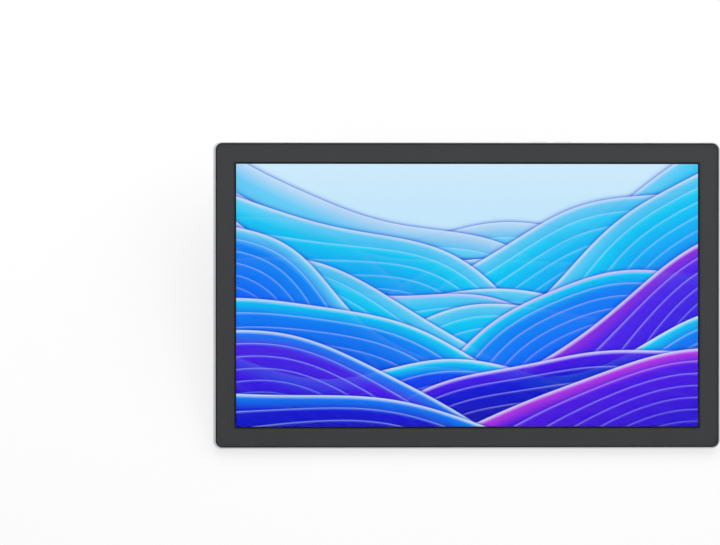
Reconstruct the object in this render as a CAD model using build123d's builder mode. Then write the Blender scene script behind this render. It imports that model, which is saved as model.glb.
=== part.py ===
from build123d import *
import os
from math import cos, dist, radians, sin, tan

# A graphics tablet with a built-in screen, standing on its two fold-out legs.
# The tablet has its own frame, the deck: X to the right, Y up the screen, and heights
# measured out of the screen from the outer face of the back cover. The deck leans back
# about X, so that the front feet and the leg tips stand on the plane Z = 0, with the
# origin under the middle of the whole object.

os.makedirs("parts", exist_ok=True)

# Screen and cover glass
active_width = 408.96
active_height = 230.04
bezel = 18.3
glass_corner = 6.0
glass_thick = 1.1
glass_chamfer = 0.25
mask_thick = 0.1
mask_reveal = 0.4
tape_thick = 0.3
tape_inset = 0.8
tape_width = 5.0

# Screen stack, from the shield under the pen sensor up to the touch film
shield_thick = 0.2
shield_inset = 2.0
sensor_margin = 3.8
sensor_thick = 0.6
reflector_thick = 0.2
guide_thick = 1.4
films_thick = 0.5
cell_thick = 1.1
cell_margin = 3.5
cell_low_margin = 7.5
cell_step = 3.0
touch_margin = 4.5
touch_thick = 0.1
bond_thick = 0.1
tray_floor = 0.4
tray_wall = 0.8
tray_overhang = 0.4
tray_notch_width = 12.0
tray_notch_height = 1.0
sheet_gap = 0.3
led_space = 2.4
led_bar_thick = 0.6
led_depth = 0.9
led_width = 3.0
led_pitch = 32.0
led_sink = 0.2

# Metal frame round the glass
rim_width = 0.9
glass_gap = 0.1
rim_drop = 0.2
rim_chamfer = 0.35
frame_wall = 1.6
ledge_thick = 1.5
module_gap = 2.4

# Back cover
cover_thick = 1.2
cover_split = 2.0
cover_rim = 4.0
cover_slope_width = 3.0
cover_slope_height = 1.8
rib_height = 1.0
rib_thick = 1.2
rib_margin = 8.0
rib_row_shares = (-0.62, -0.34, -0.06)
rib_column_shares = (-0.8, -0.45, -0.2, 0.2, 0.45, 0.8)

# Screws
screw_r = 0.8
screw_fit = 0.03
screw_clear_r = 1.1
head_r = 1.8
head_thick = 0.5
head_gap = 0.15
screw_sides = 6
head_sides = 12
boss_sides = 8
cover_screw_reach = 4.0
cover_boss_r = 2.0
cover_screw_inset = 6.5
cover_screw_corner = 22.4
blind_skin = 0.5

# Tilt, feet and pads
tilt = 20.0
foot_inset = 4.3
foot_width = 11.0
foot_length = 150.0
foot_side_inset = 18.8
foot_toe = 1.2
foot_facet = 2.0
foot_round = 0.6
pad_length = 26.0
pad_width = 8.0
pad_inset_x = 26.0
pad_inset_y = 14.0

# Fold-out legs, in the folded state flush with the back
leg_side_inset = 83.8
hinge_inset = 38.3
open_angle = 100.0
leg_width = 50.0
leg_thick = 2.6
leg_recess = 0.2
leg_edge = 0.3
leg_pocket_depth = 1.0
leg_pocket_corner = 3.0
leg_border = 6.0
leg_rib = 4.0
hinge_drop = 1.9
knuckle_r = 1.7
pin_r = 0.8
pin_fit = 0.02
bore_fit = 0.05
pin_inset = 0.5
lug_width = 5.0
lug_gap = 0.5
lug_reach = 0.4
washer_thick = 0.4
washer_r = 1.5
washer_sides = 12
tongue_thick = 1.2
tongue_length = 9.0
tongue_inset = 3.0
tip_length = 12.0

# Leg pockets
pocket_side_gap = 0.4
pocket_end_gap = 0.5
pocket_floor_gap = 0.2
pocket_wall = 0.8
pocket_floor = 0.6
pocket_fit = 0.15
hinge_bay = 6.0
stop_gap = 0.1
scoop_r = 9.0
scoop_sink = 2.0
ear_r = 3.0
ear_gap = 0.2
ear_row_shares = (0.1, 0.86)
stack_gap = 0.1

# Circuit boards and what they carry
board_thick = 1.0
board_gap = 0.3
board_screw_inset = 4.0
main_width = 104.0
main_height = 70.0
main_standoff = 0.4
main_boss_r = 2.6
driver_width = 330.0
driver_height = 17.0
driver_standoff = 1.4
driver_gap = 1.2
driver_screw_shares = (-1.0, -0.55, 0.55, 1.0)
button_board_width = 40.0
button_board_height = 11.0
board_spacing = 2.0
can_width = 44.0
can_height = 30.0
can_thick = 0.25
can_place_share = -0.12
can_rise = 1.7
chip_rise = 1.2
connector_rise = 1.1
connector_depth = 4.0
thermal_width = 28.0
flex_thick = 0.15
flex_bend = 0.6
flex_run = 1.2
flex_overlap = 1.4
lcd_flex_width = 30.0
lcd_flex_pitch = 60.0
tail_width = 18.0
ribbon_width = 24.0
ribbon_lead = 5.0

# Ports, buttons and status lamp along the top edge
port_width = 8.94
port_height = 3.26
port_length = 7.4
port_shell = 0.3
port_tongue_width = 6.2
port_tongue_thick = 0.7
port_tongue_sink = 0.8
port_back = 1.0
port_sink = 0.3
port_slot_gap = 0.17
port_inset = 18.0
port_pitch = 22.0
button_pitch = 22.0
button_length = 15.0
button_height = 3.2
button_proud = 0.5
button_gap = 0.12
button_chamfer = 0.25
button_flange = 0.8
button_lip = 0.7
button_play = 0.1
button_travel = 0.4
switch_width = 4.6
switch_depth = 3.0
plunger_r = 0.8
plunger_length = 0.7
lamp_r = 0.7
lamp_gap = 0.05
lamp_led_depth = 1.0
lamp_led_width = 1.6

# Heights in the deck, worked out from the sizes above
hinge_height = leg_recess + hinge_drop
pocket_top = leg_recess + leg_thick + pocket_floor_gap
hinge_bay_top = hinge_height + knuckle_r + pocket_floor_gap
shield_base = hinge_bay_top + pocket_floor + stack_gap
sensor_base = shield_base + shield_thick
tray_base = sensor_base + sensor_thick
reflector_base = tray_base + tray_floor
guide_base = reflector_base + reflector_thick
films_base = guide_base + guide_thick
cell_base = films_base + films_thick
cell_middle = cell_base + cell_thick / 2
touch_base = cell_base + cell_thick
bond_base = touch_base + touch_thick
mask_base = bond_base + bond_thick
glass_base = mask_base + mask_thick
glass_top = glass_base + glass_thick
ledge_top = mask_base - tape_thick
ledge_base = ledge_top - ledge_thick
frame_top = glass_top - rim_drop
main_base = cover_thick + main_standoff
main_top = main_base + board_thick
driver_base = cover_thick + driver_standoff
driver_top = driver_base + board_thick
port_axis = main_top + port_height / 2

# Outlines in the deck
glass_width = active_width + 2 * bezel
glass_height = active_height + 2 * bezel
rim_offset = glass_gap + rim_width
body_width = glass_width + 2 * rim_offset
body_height = glass_height + 2 * rim_offset
body_corner = glass_corner + rim_offset
cell_width = active_width + 2 * cell_margin
cell_height = active_height + cell_margin + cell_low_margin
cell_shift = (cell_margin - cell_low_margin) / 2
module_width = cell_width + 2 * tray_overhang
module_height = cell_height + 2 * tray_overhang
module_high = cell_shift + module_height / 2
module_low = cell_shift - module_height / 2
inner_width = module_width - 2 * tray_wall
inner_height = module_height - 2 * tray_wall
inner_low = module_low + tray_wall
sheet_width = inner_width - 2 * sheet_gap
sheet_height = inner_height - 2 * sheet_gap
sensor_width = active_width + 2 * sensor_margin
sensor_height = active_height + 2 * sensor_margin
wall_inner_y = body_height / 2 - frame_wall
board_edge = body_height / 2 - cover_rim - board_gap
main_y = board_edge - main_height / 2
main_low = board_edge - main_height
can_y = main_y + can_place_share * main_height
driver_low = module_low + driver_gap
driver_y = driver_low + driver_height / 2
driver_high = driver_low + driver_height
button_board_x = main_width / 2 + board_spacing + button_board_width / 2
button_places = {
    "touch_button": button_board_x - button_pitch / 2,
    "power_button": button_board_x + button_pitch / 2,
}
first_port_x = port_inset - main_width / 2
port_places = {"port_left": first_port_x, "port_right": first_port_x + port_pitch}
button_board_y = board_edge - button_board_height / 2
lamp_x = button_board_x

# The deck's tilt, its height over the desk and the legs' reach
leg_x = body_width / 2 - leg_side_inset
foot_x = body_width / 2 - foot_side_inset - foot_length / 2
hinge_up = body_height / 2 - hinge_inset
lean = radians(tilt)
leg_lean = radians(tilt + open_angle - 90)
foot_front = -body_height / 2 + foot_inset
foot_rise = foot_toe + foot_facet * tan(lean)
deck_z = foot_toe * cos(lean) - foot_front * sin(lean)
hinge_z = deck_z + hinge_up * sin(lean) + hinge_height * cos(lean)
hinge_y = hinge_up * cos(lean) - hinge_height * sin(lean)
leg_reach = hinge_z / cos(leg_lean)
tip_slant = tan(leg_lean)
leg_long_side = leg_reach + hinge_drop * tip_slant
rear_end = hinge_y + leg_long_side * sin(leg_lean) + hinge_drop * cos(leg_lean)
front_end = -body_height / 2 * cos(lean) - (frame_top - rim_chamfer) * sin(lean)
deck_y = -(rear_end + front_end) / 2

deck = Plane(origin=(0, deck_y, deck_z), x_dir=(1, 0, 0), z_dir=(0, -sin(lean), cos(lean)))
out_of_screen = Axis((0, 0, 0), deck.z_dir)
up_the_screen = Axis((0, 0, 0), deck.y_dir)

stop_angle = radians(open_angle - 90)
stop_reach = (hinge_drop + stop_gap) / cos(stop_angle)
pocket_high = hinge_up + stop_reach + hinge_height * tan(stop_angle)
stop_deep = hinge_up + stop_reach - (hinge_bay_top - hinge_height) * tan(stop_angle)
pocket_low = hinge_up - leg_long_side - pocket_end_gap
pocket_length = pocket_high - pocket_low
pocket_middle = (pocket_high + pocket_low) / 2
pocket_width = leg_width + 2 * pocket_side_gap
hinge_bay_low = hinge_up - hinge_bay
ear_x = pocket_width / 2 + pocket_wall + pocket_fit + ear_gap + cover_boss_r
ear_rows = [pocket_high - share * pocket_length for share in ear_row_shares]
leg_body = leg_reach - tip_length
lug_x = (leg_width - lug_width) / 2

sides = {"left": -1, "right": 1}


def level(height):
    """The deck plane at a height over the back cover's outer face."""
    return deck.offset(height)


def across(x):
    """A cut across the deck at x: its own axes are up the screen and out of it."""
    place = deck.from_local_coords((x, 0, 0))
    return Plane(origin=place, x_dir=deck.y_dir, z_dir=(1, 0, 0))


def spot(x, y, height):
    """A plane parallel to the deck with its origin at one place, facing the screen."""
    place = deck.from_local_coords((x, y, height))
    return Plane(origin=place, x_dir=(1, 0, 0), z_dir=deck.z_dir)


def outer_spot(x, y):
    """A plane on the back cover's outer face at one place, facing away from it."""
    place = deck.from_local_coords((x, y, 0))
    return Plane(origin=place, x_dir=(1, 0, 0), z_dir=-deck.z_dir)


def upright(x, y, height):
    """A plane square to the screen's upward axis, for what passes the top edge."""
    place = deck.from_local_coords((x, y, height))
    return Plane(origin=place, x_dir=(-1, 0, 0), z_dir=deck.y_dir)


def leg_level(side, rise):
    """A plane along an opened leg, at a rise over its hinge axis."""
    turn = leg_lean + radians(90)
    normal = Vector(0, -sin(turn), cos(turn))
    axis_place = Vector(side * leg_x, deck_y + hinge_y, hinge_z)
    return Plane(origin=axis_place + normal * rise, x_dir=(1, 0, 0), z_dir=normal)


def leg_across(side, x):
    """A cut across an opened leg at x from its middle, with the hinge axis at 0, 0."""
    flat = leg_level(side, 0)
    place = flat.from_local_coords((x, 0, 0))
    return Plane(origin=place, x_dir=flat.y_dir, z_dir=(1, 0, 0))


def pocket_shape(grow):
    """A leg pocket's outline with its finger scoop, grown on every side."""
    with Locations((0, pocket_middle)):
        Rectangle(pocket_width + 2 * grow, pocket_length + 2 * grow)
    with Locations((0, pocket_low + scoop_sink)):
        Circle(scoop_r + grow)


def screw_body(head_plane, length):
    """One screw: a low head on head_plane's far side and a plain shank below."""
    with BuildSketch(head_plane) as head:
        RegularPolygon(head_r, head_sides)
    extrude(head.sketch, amount=head_thick)
    with BuildSketch(head_plane) as shank:
        RegularPolygon(screw_r, screw_sides)
    extrude(shank.sketch, amount=-length)


def save(piece, name):
    """Label one finished piece and write its file."""
    piece.part.label = name
    export_step(piece.part, f"parts/{name}.step")


# Places that several pieces share
cover_screw_rows = (-body_height / 2 + cover_screw_inset, body_height / 2 - cover_screw_inset)
cover_screw_columns = (-body_width / 2 + cover_screw_inset, body_width / 2 - cover_screw_inset)
corner_screw_x = body_width / 2 - cover_screw_corner
cover_screw_places = [
    (x_sign * x, y) for y in cover_screw_rows for x in (leg_x, corner_screw_x) for x_sign in (-1, 1)
]
cover_screw_places += [(x, 0) for x in cover_screw_columns]
main_screw_places = [
    (x_sign * (main_width / 2 - board_screw_inset), y)
    for x_sign in (-1, 1)
    for y in (main_low + board_screw_inset, module_high - board_screw_inset)
]
driver_screw_places = [
    (share * (driver_width / 2 - board_screw_inset), driver_high - board_screw_inset)
    for share in driver_screw_shares
]
button_screw_y = board_edge - button_board_height + board_screw_inset
button_screw_places = [
    (button_board_x + x_sign * (button_board_width / 2 - board_screw_inset), button_screw_y)
    for x_sign in (-1, 1)
]
ear_places = [
    (side * leg_x + x_sign * ear_x, y)
    for side in sides.values()
    for x_sign in (-1, 1)
    for y in ear_rows
]

# Cover glass, with a fine bright chamfer round its front edge
with BuildPart() as cover_glass:
    with BuildSketch(level(glass_base)):
        RectangleRounded(glass_width, glass_height, glass_corner)
    extrude(amount=glass_thick)
    chamfer(faces().sort_by(out_of_screen)[-1].edges(), length=glass_chamfer)
save(cover_glass, "cover_glass")

# Black border printed on the back of the glass
with BuildPart() as border_mask:
    with BuildSketch(level(mask_base)):
        RectangleRounded(glass_width, glass_height, glass_corner)
        Rectangle(active_width + 2 * mask_reveal, active_height + 2 * mask_reveal, mode=Mode.SUBTRACT)
    extrude(amount=mask_thick)
save(border_mask, "border_mask")

# Tape that holds the glass on the frame's ledge
with BuildPart() as glass_tape:
    tape_outer_width = glass_width - 2 * tape_inset
    tape_outer_height = glass_height - 2 * tape_inset
    with BuildSketch(level(ledge_top)):
        RectangleRounded(tape_outer_width, tape_outer_height, glass_corner - tape_inset)
        Rectangle(
            tape_outer_width - 2 * tape_width, tape_outer_height - 2 * tape_width, mode=Mode.SUBTRACT
        )
    extrude(amount=tape_thick)
save(glass_tape, "glass_tape")

# Clear bond between the touch film and the glass: it fills the window in the border
with BuildPart() as bonding_film:
    with BuildSketch(level(bond_base)):
        Rectangle(active_width + 2 * touch_margin, active_height + 2 * touch_margin)
    extrude(amount=bond_thick)
    with BuildSketch(level(mask_base)):
        Rectangle(active_width, active_height)
    extrude(amount=mask_thick)
save(bonding_film, "bonding_film")

# Touch film
with BuildPart() as touch_film:
    with BuildSketch(level(touch_base)):
        Rectangle(active_width + 2 * touch_margin, active_height + 2 * touch_margin)
    extrude(amount=touch_thick)
save(touch_film, "touch_film")

# Liquid crystal cell: the lower glass carries a ledge along the bottom for the flexes
with BuildPart() as lcd_cell:
    with BuildSketch(level(cell_base)):
        with Locations((0, cell_shift)):
            Rectangle(cell_width, cell_height)
    extrude(amount=cell_middle - cell_base)
    with BuildSketch(level(cell_middle)):
        with Locations((0, cell_shift + cell_step / 2)):
            Rectangle(cell_width, cell_height - cell_step)
    extrude(amount=touch_base - cell_middle)
save(lcd_cell, "lcd_cell")

# Diffuser and brightening films
with BuildPart() as optical_films:
    with BuildSketch(level(films_base)):
        with Locations((0, cell_shift)):
            Rectangle(sheet_width, sheet_height)
    extrude(amount=films_thick)
save(optical_films, "optical_films")

# Light guide, shorter at the bottom to leave room for the light bar
with BuildPart() as light_guide:
    guide_height = sheet_height - led_space
    with BuildSketch(level(guide_base)):
        with Locations((0, cell_shift + led_space / 2)):
            Rectangle(sheet_width, guide_height)
    extrude(amount=guide_thick)
save(light_guide, "light_guide")

# White reflector under the light guide
with BuildPart() as reflector:
    with BuildSketch(level(reflector_base)):
        with Locations((0, cell_shift)):
            Rectangle(sheet_width, sheet_height)
    extrude(amount=reflector_thick)
save(reflector, "reflector")

# Light bar: a strip along the tray's lower wall with its lamps facing the guide
with BuildPart() as led_bar:
    led_count = int(sheet_width // led_pitch)
    led_high = guide_thick - led_sink
    with BuildSketch(level(guide_base)):
        with Locations((0, inner_low + sheet_gap + led_bar_thick / 2)):
            Rectangle(sheet_width, led_bar_thick)
        with Locations((0, inner_low + sheet_gap + led_bar_thick + led_depth / 2)):
            with GridLocations(led_pitch, 0, led_count, 1):
                Rectangle(led_width, led_depth)
    extrude(amount=led_high)
save(led_bar, "led_bar")

# Backlight tray: a shallow sheet-metal box whose walls carry the cell
cable_x = driver_width / 2 - tail_width
with BuildPart() as backlight_tray:
    with BuildSketch(level(tray_base)):
        with Locations((0, cell_shift)):
            Rectangle(module_width, module_height)
    extrude(amount=cell_base - tray_base)
    with BuildSketch(level(reflector_base)):
        with Locations((0, cell_shift)):
            Rectangle(inner_width, inner_height)
    extrude(amount=cell_base - reflector_base, mode=Mode.SUBTRACT)
    with BuildSketch(level(guide_base)):
        with Locations((cable_x, module_low)):
            Rectangle(tray_notch_width, 2 * tray_wall)
    extrude(amount=tray_notch_height, mode=Mode.SUBTRACT)
save(backlight_tray, "backlight_tray")

# Pen sensor: a board with its antenna loops under the whole screen
with BuildPart() as pen_sensor_board:
    with BuildSketch(level(sensor_base)):
        Rectangle(sensor_width, sensor_height)
    extrude(amount=sensor_thick)
save(pen_sensor_board, "pen_sensor_board")

# Magnetic shield foil behind the pen sensor
with BuildPart() as shield_foil:
    with BuildSketch(level(shield_base)):
        Rectangle(sensor_width - 2 * shield_inset, sensor_height - 2 * shield_inset)
    extrude(amount=shield_thick)
save(shield_foil, "shield_foil")

# Metal frame: a wall with a bright chamfer, a ledge for the glass, screw bosses, and
# the openings for the ports, the buttons and the status lamp in its top wall
with BuildPart() as middle_frame:
    with BuildSketch(level(cover_split)):
        RectangleRounded(body_width, body_height, body_corner)
    extrude(amount=frame_top - cover_split)
    chamfer(faces().sort_by(out_of_screen)[-1].edges(), length=rim_chamfer)
    with BuildSketch(level(ledge_top)):
        RectangleRounded(
            glass_width + 2 * glass_gap, glass_height + 2 * glass_gap, glass_corner + glass_gap
        )
    extrude(amount=frame_top - ledge_top, mode=Mode.SUBTRACT)
    with BuildSketch(level(cover_split)):
        RectangleRounded(
            body_width - 2 * frame_wall, body_height - 2 * frame_wall, body_corner - frame_wall
        )
    extrude(amount=ledge_base - cover_split, mode=Mode.SUBTRACT)
    with BuildSketch(level(ledge_base)):
        with Locations((0, cell_shift)):
            Rectangle(module_width + 2 * module_gap, module_height + 2 * module_gap)
    extrude(amount=ledge_thick, mode=Mode.SUBTRACT)
    with BuildSketch(level(cover_thick)):
        with Locations(*cover_screw_places):
            RegularPolygon(cover_boss_r, boss_sides)
    extrude(amount=ledge_base - cover_thick)
    with BuildSketch(level(cover_thick)):
        with Locations(*cover_screw_places):
            RegularPolygon(screw_r + screw_fit, screw_sides)
    extrude(amount=cover_screw_reach, mode=Mode.SUBTRACT)
    for port_x in port_places.values():
        with BuildSketch(upright(port_x, wall_inner_y, port_axis)):
            SlotOverall(port_width + 2 * port_slot_gap, port_height + 2 * port_slot_gap)
        extrude(amount=frame_wall, mode=Mode.SUBTRACT)
    for button_x in button_places.values():
        with BuildSketch(upright(button_x, wall_inner_y, port_axis)):
            SlotOverall(button_length + 2 * button_gap, button_height + 2 * button_gap)
        extrude(amount=frame_wall, mode=Mode.SUBTRACT)
    with BuildSketch(upright(lamp_x, wall_inner_y, port_axis)):
        Circle(lamp_r + lamp_gap)
    extrude(amount=frame_wall, mode=Mode.SUBTRACT)
save(middle_frame, "middle_frame")

# Back cover: a tray-like panel with a sloping edge, a cut-out for each leg pocket,
# bosses for the boards and pockets, stiffening ribs and counterbored screw holes
with BuildPart() as back_cover:
    slope_corner = body_corner - cover_slope_width
    with BuildSketch(level(0)):
        RectangleRounded(
            body_width - 2 * cover_slope_width, body_height - 2 * cover_slope_width, slope_corner
        )
    with BuildSketch(level(cover_slope_height)):
        RectangleRounded(body_width, body_height, body_corner)
    loft(ruled=True)
    with BuildSketch(level(cover_slope_height)):
        RectangleRounded(body_width, body_height, body_corner)
    extrude(amount=cover_split - cover_slope_height)
    with BuildSketch(level(cover_thick)):
        RectangleRounded(body_width - 2 * cover_rim, body_height - 2 * cover_rim, body_corner - cover_rim)
    extrude(amount=cover_split - cover_thick, mode=Mode.SUBTRACT)
    rib_low = min(rib_row_shares) * body_height / 2
    rib_high = max(rib_row_shares) * body_height / 2
    rib_half = body_width / 2 - cover_rim - rib_margin
    with BuildSketch(level(cover_thick)):
        for share in rib_row_shares:
            with Locations((0, share * body_height / 2)):
                Rectangle(2 * rib_half, rib_thick)
        for share in rib_column_shares:
            with Locations((share * rib_half, (rib_low + rib_high) / 2)):
                Rectangle(rib_thick, rib_high - rib_low)
    extrude(amount=rib_height)
    with BuildSketch(level(cover_thick)):
        with Locations(*main_screw_places, *button_screw_places):
            RegularPolygon(main_boss_r, boss_sides)
    extrude(amount=main_standoff)
    with BuildSketch(level(cover_thick)):
        with Locations(*driver_screw_places):
            RegularPolygon(main_boss_r, boss_sides)
    extrude(amount=driver_standoff)
    with BuildSketch(level(cover_thick)):
        with Locations(*ear_places):
            RegularPolygon(cover_boss_r, boss_sides)
    extrude(amount=pocket_top - cover_thick)
    for side in sides.values():
        with BuildSketch(spot(side * leg_x, 0, 0)):
            pocket_shape(pocket_wall + pocket_fit)
        extrude(amount=cover_split, mode=Mode.SUBTRACT)
    boss_top = max(main_base, driver_base, pocket_top)
    with BuildSketch(level(blind_skin)):
        with Locations(*main_screw_places, *button_screw_places, *driver_screw_places, *ear_places):
            RegularPolygon(screw_r + screw_fit, screw_sides)
    extrude(amount=boss_top - blind_skin, mode=Mode.SUBTRACT)
    with BuildSketch(level(0)):
        with Locations(*cover_screw_places):
            RegularPolygon(head_r + head_gap, head_sides)
    extrude(amount=head_thick, mode=Mode.SUBTRACT)
    with BuildSketch(level(0)):
        with Locations(*cover_screw_places):
            RegularPolygon(screw_clear_r, screw_sides)
    extrude(amount=cover_thick, mode=Mode.SUBTRACT)
save(back_cover, "back_cover")

# Screws through the back cover into the frame's bosses
with BuildPart() as cover_screws:
    for x, y in cover_screw_places:
        screw_body(outer_spot(x, y).offset(-head_thick), cover_thick - head_thick + cover_screw_reach / 2)
save(cover_screws, "cover_screws")

# Front feet: two rubber strips whose toes are bevelled to lie flat on the desk
with BuildPart() as front_feet:
    foot_back = foot_front + foot_width
    for side in sides.values():
        with BuildSketch(across(side * foot_x)) as foot_section:
            with BuildLine():
                Polyline(
                    (foot_front, 0),
                    (foot_front, -foot_toe),
                    (foot_front + foot_facet, -foot_rise),
                    (foot_back, -foot_rise),
                    (foot_back, 0),
                    close=True,
                )
            make_face()
            fillet(foot_section.vertices().group_by(Axis.X)[-1].sort_by(Axis.Y)[0], radius=foot_round)
        extrude(amount=foot_length / 2, both=True)
save(front_feet, "front_feet")

# Pads near the top corners, for laying the tablet flat with its legs folded
with BuildPart() as rear_pads:
    with BuildSketch(level(0)):
        for side in sides.values():
            with Locations((side * (body_width / 2 - pad_inset_x), body_height / 2 - pad_inset_y)):
                SlotOverall(pad_length, pad_width)
    extrude(amount=-foot_rise)
save(rear_pads, "rear_pads")

# Leg pockets: one moulded tray a side with screw ears, hinge lugs and the slanted end
# wall that stops the open leg
for side_name, side in sides.items():
    with BuildPart() as leg_tray:
        with BuildSketch(spot(side * leg_x, 0, 0)):
            pocket_shape(pocket_wall)
        extrude(amount=pocket_top + pocket_floor)
        with BuildSketch(spot(side * leg_x, 0, pocket_top)):
            with Locations(*[(0, y) for y in ear_rows]):
                Rectangle(2 * (ear_x + ear_r), 2 * ear_r)
        extrude(amount=pocket_floor)
        with BuildSketch(spot(side * leg_x, 0, 0)):
            with Locations((0, (hinge_bay_low + pocket_high) / 2)):
                Rectangle(
                    pocket_width + 2 * pocket_wall, pocket_high - hinge_bay_low + 2 * pocket_wall
                )
        extrude(amount=hinge_bay_top + pocket_floor)
        with BuildSketch(spot(side * leg_x, 0, 0)):
            pocket_shape(0)
            with Locations((0, pocket_high)):
                Rectangle(pocket_width, 2 * (pocket_high - hinge_bay_low), mode=Mode.SUBTRACT)
        extrude(amount=pocket_top, mode=Mode.SUBTRACT)
        with BuildSketch(across(side * leg_x)):
            with BuildLine():
                Polyline(
                    (hinge_bay_low, 0),
                    (pocket_high, 0),
                    (stop_deep, hinge_bay_top),
                    (hinge_bay_low, hinge_bay_top),
                    close=True,
                )
            make_face()
        extrude(amount=pocket_width / 2, both=True, mode=Mode.SUBTRACT)
        for x_sign in (-1, 1):
            with BuildSketch(across(side * leg_x + x_sign * lug_x)):
                with Locations((hinge_up, hinge_height)):
                    Circle(knuckle_r)
                with Locations((hinge_up, (hinge_height + hinge_bay_top) / 2)):
                    Rectangle(2 * knuckle_r, hinge_bay_top - hinge_height)
                with Locations((hinge_up, hinge_height)):
                    Circle(pin_r + pin_fit, mode=Mode.SUBTRACT)
            extrude(amount=lug_width / 2, both=True)
        with BuildSketch(spot(side * leg_x, 0, pocket_top)):
            with Locations(*[(x_sign * ear_x, y) for x_sign in (-1, 1) for y in ear_rows]):
                RegularPolygon(screw_clear_r, screw_sides)
        extrude(amount=pocket_floor, mode=Mode.SUBTRACT)
    save(leg_tray, f"leg_tray_{side_name}")

# Screws that hold the leg pockets on the back cover's bosses
with BuildPart() as tray_screws:
    for x, y in ear_places:
        screw_body(spot(x, y, pocket_top + pocket_floor), pocket_floor + cover_thick)
save(tray_screws, "tray_screws")

# Legs: a die-cast plate with a hinge barrel, two shallow pockets on its inner side and
# a tongue that the rubber tip is moulded on
for side_name, side in sides.items():
    leg_outer = leg_level(side, -hinge_drop)
    leg_inner = leg_level(side, leg_thick - hinge_drop)
    along_leg = Axis((0, 0, 0), leg_outer.y_dir)
    with BuildPart() as leg:
        with BuildSketch(leg_outer):
            with Locations((0, -leg_body / 2)):
                Rectangle(leg_width, leg_body)
        extrude(amount=leg_thick)
        chamfer(edges().filter_by(along_leg), length=leg_edge)
        with BuildSketch(leg_across(side, 0)):
            Circle(knuckle_r)
        extrude(amount=leg_width / 2, both=True)
        notch_width = lug_width + 2 * lug_gap
        notch_depth = knuckle_r + lug_reach
        with BuildSketch(leg_level(side, 0)):
            with Locations(*[(x_sign * lug_x, 0) for x_sign in (-1, 1)]):
                Rectangle(notch_width, 2 * notch_depth)
        extrude(amount=leg_thick, both=True, mode=Mode.SUBTRACT)
        with BuildSketch(leg_across(side, 0)):
            Circle(pin_r + bore_fit)
        extrude(amount=leg_width / 2, both=True, mode=Mode.SUBTRACT)
        recess_width = (leg_width - 2 * leg_border - leg_rib) / 2
        recess_length = leg_body - 2 * leg_border
        with BuildSketch(leg_inner):
            with Locations((0, -leg_body / 2)):
                with GridLocations(recess_width + leg_rib, 0, 2, 1):
                    RectangleRounded(recess_width, recess_length, leg_pocket_corner)
        extrude(amount=-leg_pocket_depth, mode=Mode.SUBTRACT)
        with BuildSketch(leg_level(side, (leg_thick - tongue_thick) / 2 - hinge_drop)):
            with Locations((0, -leg_body - tongue_length / 2)):
                Rectangle(leg_width - 2 * tongue_inset, tongue_length)
        extrude(amount=tongue_thick)
    save(leg, f"leg_{side_name}")

    with BuildPart() as leg_tip:
        tip_block = tip_length + leg_long_side - leg_reach
        with BuildSketch(leg_outer):
            with Locations((0, -leg_body - tip_block / 2)):
                Rectangle(leg_width, tip_block)
        extrude(amount=leg_thick)
        chamfer(edges().filter_by(along_leg), length=leg_edge)
        with BuildSketch(leg_level(side, (leg_thick - tongue_thick) / 2 - hinge_drop)):
            with Locations((0, -leg_body - tongue_length / 2)):
                Rectangle(leg_width - 2 * tongue_inset, tongue_length)
        extrude(amount=tongue_thick, mode=Mode.SUBTRACT)
        split(bisect_by=Plane.XY, keep=Keep.TOP)
    save(leg_tip, f"leg_tip_{side_name}")

    with BuildPart() as hinge_pin:
        with BuildSketch(leg_across(side, 0)):
            Circle(pin_r)
        extrude(amount=leg_width / 2 - pin_inset, both=True)
    save(hinge_pin, f"hinge_pin_{side_name}")

# Friction washers between the hinge lugs and the legs' barrels
with BuildPart() as hinge_washers:
    washer_place = lug_x - lug_width / 2 - lug_gap / 2
    for side in sides.values():
        for x_sign in (-1, 1):
            with BuildSketch(leg_across(side, x_sign * washer_place)):
                RegularPolygon(washer_r, washer_sides)
                RegularPolygon(
                    pin_r + bore_fit, washer_sides, major_radius=False, mode=Mode.SUBTRACT
                )
            extrude(amount=washer_thick / 2, both=True)
save(hinge_washers, "hinge_washers")

# Main board, with the ports on its upper edge
with BuildPart() as main_board:
    with BuildSketch(level(main_base)):
        with Locations((0, main_y)):
            Rectangle(main_width, main_height)
        with Locations(*main_screw_places):
            RegularPolygon(screw_clear_r, screw_sides, mode=Mode.SUBTRACT)
    extrude(amount=board_thick)
save(main_board, "main_board")

# Chips and connectors on the main board: each is placed and sized by shares of the board
chip_shares = (
    (0.27, -0.16, 0.1, 0.16),
    (0.27, 0.1, 0.1, 0.16),
    (-0.36, 0.12, 0.07, 0.14),
    (-0.36, -0.16, 0.1, 0.2),
    (0.4, 0.0, 0.04, 0.08),
    (0.4, -0.2, 0.04, 0.08),
)
sensor_tail_x = main_width / 4
touch_tail_x = -main_width / 12
tail_end = module_high - ribbon_lead
with BuildPart() as main_board_chips:
    with BuildSketch(level(main_top)):
        for x_share, y_share, width_share, height_share in chip_shares:
            with Locations((x_share * main_width, main_y + y_share * main_height)):
                Rectangle(width_share * main_width, height_share * main_height)
        with Locations((0, can_y)):
            Rectangle(can_width / 2, can_height / 2)
    extrude(amount=chip_rise)
    with BuildSketch(level(main_top)):
        for tail_x in (sensor_tail_x, touch_tail_x):
            with Locations((tail_x, tail_end - connector_depth / 2)):
                Rectangle(tail_width, connector_depth)
        with Locations((0, main_low + ribbon_lead + connector_depth / 2)):
            Rectangle(ribbon_width, connector_depth)
    extrude(amount=connector_rise)
save(main_board_chips, "main_board_chips")

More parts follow.
